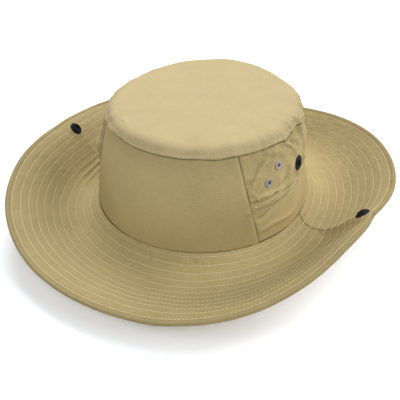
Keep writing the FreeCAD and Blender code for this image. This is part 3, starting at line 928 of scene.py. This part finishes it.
def panel_relief(shape):
    """Panel's own relief, plus what every panel of the crown has at its seams."""
    def relief(angle, climb, edge):
        height = climb * WALL_HEIGHT
        clear = away_from_hardware(angle, climb)
        total = shape(angle, climb, edge) * clear * smooth(0.0, 0.0018, edge)
        total += seam_tuck(edge)
        total += seam_tuck(height, 0.0003, 0.0008)
        return total + seam_tuck(WALL_HEIGHT - height, 0.0005, 0.0009)
    return relief


def panel_shade(angle, climb, edge):
    height = climb * WALL_HEIGHT
    # painted light and shade: lighter towards the bottom; random unevenness
    tone = 1.04 - 0.08 * climb + 0.03 * lumps(angle * WALL_RADIUS, height, 0.02, 0.02, 61)
    tone += 0.03 * lumps(angle * WALL_RADIUS, height, 0.0012, 0.0012, 62)
    tone -= 0.40 * hump(0.0, 0.0005, edge)
    # a dark seam line at the brim, and painted shade below the top panel's shoulder
    tone = tone - 0.12 * hump(0.0, 0.0006, height) - 0.13 * hump(WALL_HEIGHT, 0.010, height)
    # painted light and shade on the puckers below the tip's seam
    tone += PUCKER_PAINTED_LIGHT * tip_pucker(angle) * np.exp(-(WALL_HEIGHT - height) / 0.005)
    return tone - 0.30 * hump(WALL_HEIGHT, 0.0005, height)


def rear_shade(angle, climb, edge):
    tone = panel_shade(angle, climb, edge)
    on_right = smooth(4.6, 4.9, angle) * smooth(0.44, 0.54, climb)
    uneven = 0.8 + 0.5 * lumps(climb * WALL_HEIGHT, 0.0, 0.006, 1.0, 59)
    # painted highlight on a ridge near the panel seam on the wearer's right, painted shade in the gap
    # at that seam, and painted light low on the panel
    ridge_highlight_and_gap_shade = 0.34 * hump(0.0075, 0.0030, edge) - 0.20 * hump(0.0016, 0.0018, edge)
    tone = tone + on_right * uneven * ridge_highlight_and_gap_shade + 0.09 * smooth(0.40, 0.30, climb)
    # painted light and shade on the folds: tops paler, hollows darker, weaker on the wearer's right
    fold_light = FOLD_PAINTED_LIGHT * (1.0 - FAR_SIDE_FADE * smooth(3.4, 4.2, angle))
    return tone * (1.0 + fold_light * fold_height(angle, climb) * away_from_hardware(angle, climb))


def build_crown_wall(cloth, thread):
    low, top = PANEL_SEAM_ANGLE
    front, _, _ = wall_shell(
        "crown_front_cloth", (-low, -top), (low, top), (0.0, 1.0), 0.0, CLOTH,
        (241, 97), panel_relief(front_relief), cloth, shade=panel_shade)
    on_root(front, "crown_cloth", "crown_front_panel")

    rear_climbs = np.unique(np.concatenate([np.linspace(0.0, 1.0, 97), ELASTIC_SPAN]))
    rear, points, normals = wall_shell(
        "crown_rear_cloth", (low, top), (360.0 - low, 360.0 - top), (0.0, 1.0), 0.0, CLOTH,
        (521, len(rear_climbs)), panel_relief(rear_relief), cloth, rear_climbs,
        holes=True, shade=rear_shade)
    on_root(rear, "crown_cloth", "crown_rear_panel")

    lines = []
    for place in ELASTIC_SPAN:
        column = int(np.argmin(np.abs(rear_climbs - place)))
        raised = points[4:-4, column] + normals[4:-4, column] * THREAD_HEIGHT
        lines.append((raised, normals[4:-4, column]))
    sewing = stitches("elastic_stitching", lines, thread, width=1.8 * THREAD_WIDTH)
    on_root(sewing, "crown_cloth")


def tip_profile():
    """Radius share and height over the seam, from the seam to the centre of the top."""
    shoulder = np.radians(np.linspace(0.0, 90.0, 41))
    flat_start = TIP_HALF_WIDTH - SHOULDER_WIDTH
    radius = flat_start + SHOULDER_WIDTH * np.cos(shoulder) ** SHOULDER_CRISPNESS
    height = SHOULDER_HEIGHT * np.sin(shoulder) ** SHOULDER_CRISPNESS
    inwards = np.linspace(1.0, 0.03, 44)[1:]
    dome_radius = flat_start * inwards
    dome_height = SHOULDER_HEIGHT + TIP_DOME * (1.0 - inwards ** 2)
    return np.concatenate([radius, dome_radius]), np.concatenate([height, dome_height])


def tip_grid(inset):
    """Grid of the top panel, inset from its outer face."""
    angles = even_turn(TIP_COLUMNS)[:, None]
    radius, height = (values[None, :] for values in tip_profile())
    inward = TIP_HALF_WIDTH - radius
    from_seam = np.hypot(inward, height)
    x = (radius - inset) * np.sin(angles)
    y = -(radius - inset) * np.cos(angles) * TIP_HALF_LENGTH / TIP_HALF_WIDTH
    z = TIP_SEAM_HEIGHT[0] + height - TIP_SEAM_HEIGHT[1] * y / TIP_HALF_LENGTH - inset
    z = z + 0.0011 * lumps(x + 0.2, y + 0.2, 0.038, 0.044, 71) * smooth(0.0, 0.01, from_seam)
    z = z + 0.0003 * lumps(x + 0.2, y + 0.2, 0.012, 0.013, 72) * smooth(0.0, 0.01, from_seam)
    pucker = tip_pucker(angles) * np.exp(-from_seam / 0.008)
    facet = ring_lumps(angles, 0.0, 21, 1.0, 74) * hump(0.011, 0.009, from_seam)
    loose = 0.6 + 1.4 * facing(angles, -0.72, 0.34)
    lip = hump(0.0024, 0.0015, from_seam) * loose * (1.0 + 0.5 * ring_lumps(angles, 0.0, 61, 1.0, 76))
    tuck = np.exp(-(from_seam / 0.0011) ** 2)
    folded = np.clip(fold_height(angles, 1.0), -0.002, 0.003) * np.exp(-(from_seam / 0.008) ** 2)
    pucker = pucker + folded * away_from_panel_seams(angles)
    wide = pucker + 0.0009 * facet + 0.0008 * lip - 0.0006 * tuck
    lean = slump(angles, 1.0 + height * 0.0) * smooth(0.0, 0.06, 0.06 - x)
    x = x + (wide + lean) * np.sin(angles)
    y = y - wide * np.cos(angles)
    ripple = ring_lumps(angles, 0.0, 33, 1.0, 79) * hump(0.0125, 0.0014, from_seam)
    z = z + 0.0006 * ripple * (0.4 + facing(angles, -0.6, 0.5))
    z = z + 0.5 * pucker + 0.0007 * facet + seam_wave(angles) * np.exp(-from_seam / 0.012)
    return np.stack([x, y, z], axis=-1) + np.array(HAT_CENTRE), from_seam


def build_tip(cloth):
    outer, from_seam = tip_grid(0.0)
    inner, _ = tip_grid(CLOTH)
    flat = outer[:, :, :2] * 1.02
    angles = even_turn(TIP_COLUMNS)[:, None]
    uneven = 1.0 + 0.6 * ring_lumps(angles, 0.0, 67, 1.0, 78)
    # painted shade on the shoulder where it turns down
    shade = 1.0 - 0.13 * smooth(0.014, 0.004, from_seam)
    shade = shade - 0.26 * hump(0.0, 0.0007, from_seam)
    # painted highlight on the lip of the seam
    shade = shade + 0.13 * hump(0.0020, 0.0007, from_seam) * uneven
    # painted light and shade on the puckers above the seam
    shade = shade + PUCKER_PAINTED_LIGHT * tip_pucker(angles) * np.exp(-from_seam / 0.007)
    # painted shade towards the back and the wearer's left
    shade = shade - 0.02 * (outer[:, :, 0] + outer[:, :, 1]) / TIP_HALF_WIDTH
    # painted shade above the lip, strongest at the front on the wearer's right
    shade_above_lip = 0.5 + facing(angles, -0.75, 0.4)
    shade = shade - 0.09 * hump(0.0052, 0.0020, from_seam) * uneven * shade_above_lip
    piece = shell_piece("crown_top_cloth", outer, inner, flat, cloth, shade, round_trip=True)
    close_centre(piece, outer.shape[0], outer.shape[1])
    on_root(piece, "tip_cloth", "crown_tip")


def close_centre(piece, rows, columns):
    """Fills the small round opening in the middle of both faces of the top panel."""
    work = bmesh.new()
    work.from_mesh(piece.data)
    work.verts.ensure_lookup_table()
    outer_ring = [work.verts[row * columns + columns - 1] for row in range(rows)]
    inner_ring = [work.verts[(rows + row) * columns + columns - 1] for row in range(rows)]
    work.faces.new(outer_ring).smooth = True
    work.faces.new(inner_ring[::-1]).smooth = True
    work.to_mesh(piece.data)
    work.free()


# --- inside of the crown ---
def strip_relief(bumps, seed, edge_roll=0.0):
    """Soft strip: a few lumps, and edges that turn in a little."""
    def relief(angle, climb, edge):
        arc = angle * 0.085
        height = climb * WALL_HEIGHT
        return bumps * lumps(arc, height, 0.014, 0.009, seed) - edge_roll * hump(0.0, 0.002, edge)
    return relief


def strip(name, node, slot, first, last, span, depth, thickness, size, relief, paint):
    piece, points, normals = wall_shell(
        name, first, last, span, depth, thickness, size, relief, paint)
    on_root(piece, slot, node)
    return piece, points, normals


def build_linings(lining, elastic, label, sweatband_paint, thread):
    low, top = PANEL_SEAM_ANGLE
    depth = CLOTH + LAYER_GAP
    inner = depth + LINING + LAYER_GAP
    taped_low = low - SEAM_TAPE_ANGLE
    taped_top = top - SEAM_TAPE_ANGLE
    rear_first = (REAR_START_ANGLE, REAR_START_ANGLE)
    rear_last = (360.0 - REAR_START_ANGLE, 360.0 - REAR_START_ANGLE)
    ring_first = (SWEATBAND_GAP_ANGLE - 180.0,) * 2
    ring_last = (180.0 - SWEATBAND_GAP_ANGLE,) * 2
    label_first = (180.0 - 3.0 * LABEL_ANGLE,) * 2
    label_last = (180.0 - LABEL_ANGLE,) * 2

    def flush(angle, climb, edge):
        return np.minimum(panel_relief(front_relief)(angle, climb, edge), 0.0) * 0.5

    strip("front_interlining_cloth", "front_interlining", "stiffener",
          (-taped_low, -taped_top), (taped_low, taped_top), (0.0, 1.0), depth + 0.0006,
          LINING * 0.5, (121, 49), flush, lining)
    strip("rear_elastic_band", "rear_elastic", "elastic", rear_first, rear_last,
          ELASTIC_SPAN, depth + 0.0012, LINING, (361, 9), strip_relief(0.0, 82), elastic)
    strip("elastic_casing_cloth", "elastic_casing", "lining", rear_first, rear_last,
          CASING_SPAN, inner + 0.0024, CASING_THICKNESS, (481, 13),
          lambda angle, climb, edge: 0.0007 * gathers(angle * WALL_RADIUS, 83), lining)
    _, points, normals = strip(
        "sweatband_cloth", "sweatband", "lining", ring_first, ring_last,
        (0.0, SWEATBAND_TOP), inner, SWEATBAND_THICKNESS, (521, 27),
        strip_relief(0.0004, 84), sweatband_paint)
    inward = points - normals * SWEATBAND_THICKNESS
    lines = [(inward[:, column], -normals[:, column]) for column in (3, 23)]
    sewing = stitches("sweatband_stitching", lines, thread)
    on_root(sewing, "lining")
    strip("tip_seam_binding", "tip_seam_tape", "lining", ring_first, ring_last,
          TIP_TAPE_SPAN, inner + 0.0006, TIP_TAPE_THICKNESS, (361, 9),
          strip_relief(0.0004, 85), lining)
    strip("care_label_tag", "care_label", "label", label_first, label_last, LABEL_SPAN,
          inner + SWEATBAND_THICKNESS + LAYER_GAP, LABEL_THICKNESS, (33, 33),
          strip_relief(0.0005, 86), label)
    for side_name, side in (("left", 1), ("right", -1)):
        first = (side * low - SEAM_TAPE_ANGLE, side * top - SEAM_TAPE_ANGLE)
        last = (side * low + SEAM_TAPE_ANGLE, side * top + SEAM_TAPE_ANGLE)
        strip(f"seam_binding_{side_name}", f"seam_tape_{side_name}", "lining",
              first, last, (0.0, 1.0), depth + 0.0012, LINING * 0.7, (13, 61),
              strip_relief(0.0002, 87), lining)


# --- metal parts ---
def paint_hardware(snap, eyelet):
    for side_name in ("left", "right"):
        for part in ("crown_stud", "stud_cap", "brim_socket", "socket_cap"):
            paint_node(f"{part}_{side_name}", snap)
        for part in ("vent_eyelet", "eyelet_washer"):
            for place in ("upper", "lower"):
                paint_node(f"{part}_{side_name}_{place}", eyelet)


def paint_node(name, material):
    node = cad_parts[name]
    for slot in node.material_slots:
        slot.material = material


# --- studio ---
def build_floor():
    paint = Paint("studio_white", FLOOR_WHITE, 0.9, specular=0.1)
    place = paint.add("ShaderNodeTexCoord").outputs["Object"]
    paint.tinted(FLOOR_WHITE, paint.between(paint.noise(place, 3.0), 0.99, 1.01))
    paint.set({"Emission Color": WHITE, "Emission Strength": FLOOR_GLOW})
    side = np.array([-1.0, 1.0]) * FLOOR_HALF
    grid = np.stack(np.meshgrid(side, side, indexing="ij") + [np.zeros((2, 2))], axis=-1)
    points = grid.reshape(-1, 3)
    floor = mesh_piece("studio_floor", points, np.array([[0, 2, 3, 1]]), points[:, :2],
                       paint.material)


def area_light(name, place, power):
    data = bpy.data.lights.new(name, "AREA")
    data.shape = "DISK"
    data.size = LIGHT_SIZE
    data.energy = power
    light = in_scene(name, data)
    light.location = place
    light.rotation_euler = (Vector(LIGHT_TARGET) - Vector(place)).to_track_quat("-Z", "Y").to_euler()


def build_lights():
    world = bpy.data.worlds.new("studio")
    world.use_nodes = True
    background = world.node_tree.nodes["Background"]
    background.inputs["Color"].default_value = WHITE
    background.inputs["Strength"].default_value = WORLD_LIGHT
    bpy.context.scene.world = world
    for name, place, power in LIGHTS:
        area_light(name, place, power)


def build_camera():
    data = bpy.data.cameras.new("camera")
    data.lens = LENS
    camera = in_scene("camera", data)
    azimuth = math.radians(VIEW_AZIMUTH)
    elevation = math.radians(VIEW_ELEVATION)
    away = Vector((
        math.sin(azimuth) * math.cos(elevation),
        -math.cos(azimuth) * math.cos(elevation),
        math.sin(elevation),
    ))
    camera.location = Vector(VIEW_TARGET) + away * VIEW_DISTANCE
    camera.rotation_euler = (-away).to_track_quat("-Z", "Y").to_euler()
    bpy.context.scene.camera = camera


# --- assembly ---
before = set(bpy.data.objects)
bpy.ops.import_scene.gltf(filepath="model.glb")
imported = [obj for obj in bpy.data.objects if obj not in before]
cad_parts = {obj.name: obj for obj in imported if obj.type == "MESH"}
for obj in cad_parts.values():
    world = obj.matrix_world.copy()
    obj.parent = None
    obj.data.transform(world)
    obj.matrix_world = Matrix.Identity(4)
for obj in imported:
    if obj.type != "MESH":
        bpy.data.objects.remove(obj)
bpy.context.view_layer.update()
bpy.context.scene.view_settings.view_transform = "Standard"
crown_cloth = cloth_paint("crown_cloth_paint", CROWN_KHAKI)
# the brim's khaki is painted darker: painted shade
brim_cloth = cloth_paint("brim_cloth_paint", BRIM_KHAKI_SHADED)
# the top panel's khaki is painted paler: painted light
tip_cloth = cloth_paint("tip_cloth_paint", TIP_KHAKI_LIT)
lining_cloth = cloth_paint("lining_paint", LINING_COLOUR)
sweatband_paint = ribbed_paint("sweatband_paint", KHAKI_INSIDE, 0.0012)
elastic_paint = ribbed_paint("elastic_paint", ELASTIC_COLOUR, 0.0009)
label_paint = cloth_paint("label_paint", LABEL_COLOUR, 0.0004)
sewing_thread = thread_paint("thread_paint", THREAD)
snap_paint = enamel_paint("snap_paint", SNAP_COLOUR, 0.55, 0.0, (0.014, 0.014, 0.018))
eyelet_paint = enamel_paint("eyelet_paint", EYELET_COLOUR, 0.5, 0.35, (0.6, 0.57, 0.54))
build_linings(lining_cloth, elastic_paint, label_paint, sweatband_paint, sewing_thread)
build_crown_wall(crown_cloth, sewing_thread)
build_tip(tip_cloth)
build_brim(brim_cloth, sewing_thread)
paint_hardware(snap_paint, eyelet_paint)
build_floor()
build_lights()
build_camera()
